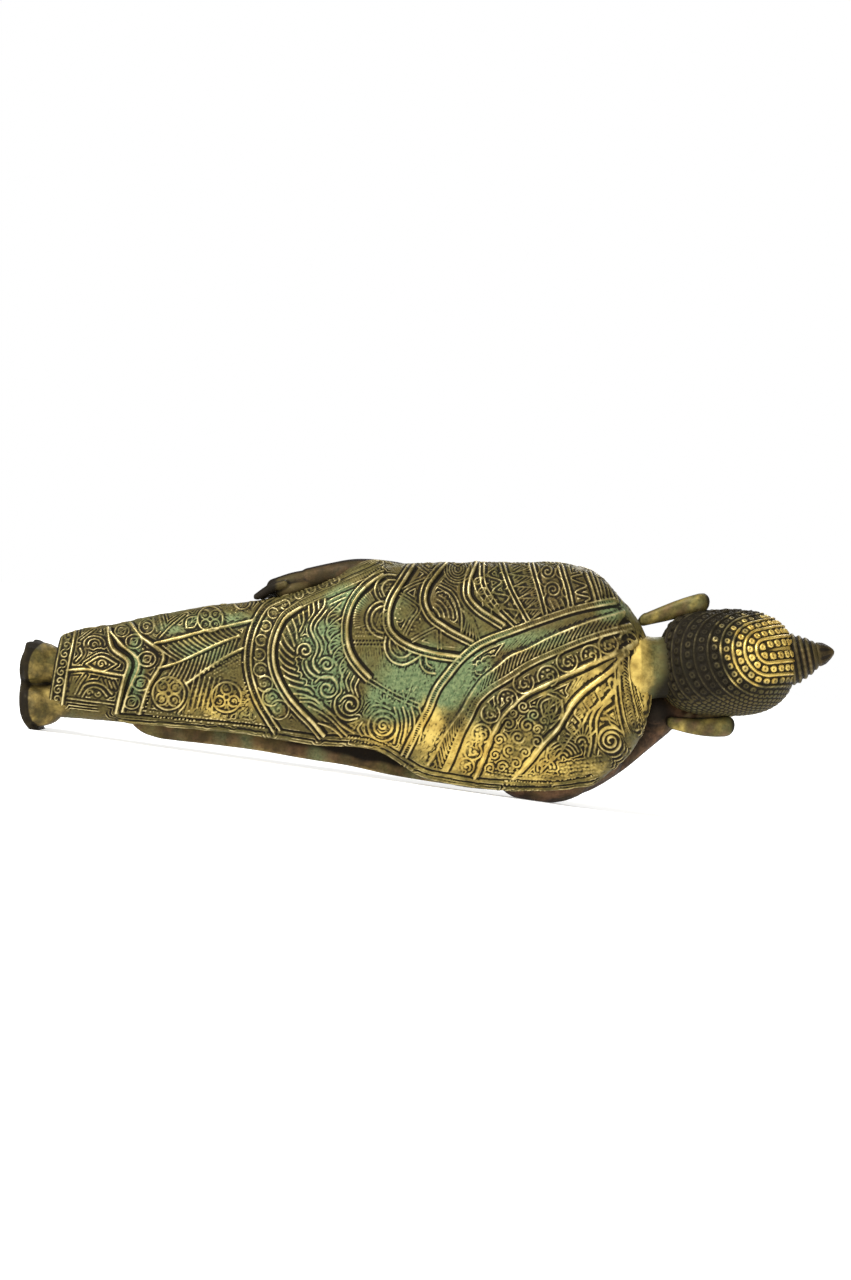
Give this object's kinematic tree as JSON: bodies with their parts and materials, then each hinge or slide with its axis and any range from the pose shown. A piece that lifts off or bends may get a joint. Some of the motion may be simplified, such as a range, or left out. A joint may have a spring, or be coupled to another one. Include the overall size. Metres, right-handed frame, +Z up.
{
  "type": "reclining buddha statue",
  "caption": "Cast bronze statuette of a reclining Buddha lying on its right side, head on the right palm, patterned robe, long lobes, curled hair and a pointed crown knot.",
  "frame": {"origin": "middle of the footprint, on the surface that the statuette lies on", "axes": "+X from the soles towards the head, +Y from the back towards the chest and face, +Z up"},
  "size_m": [0.3453, 0.0608, 0.1029],
  "materials": {
    "bronze": "cast bronze, dark brown and green patina, rubbed golden on the raised threads"
  },
  "bodies": {
    "root": {"reclining_buddha": "bronze"}
  },
  "joints": []
}
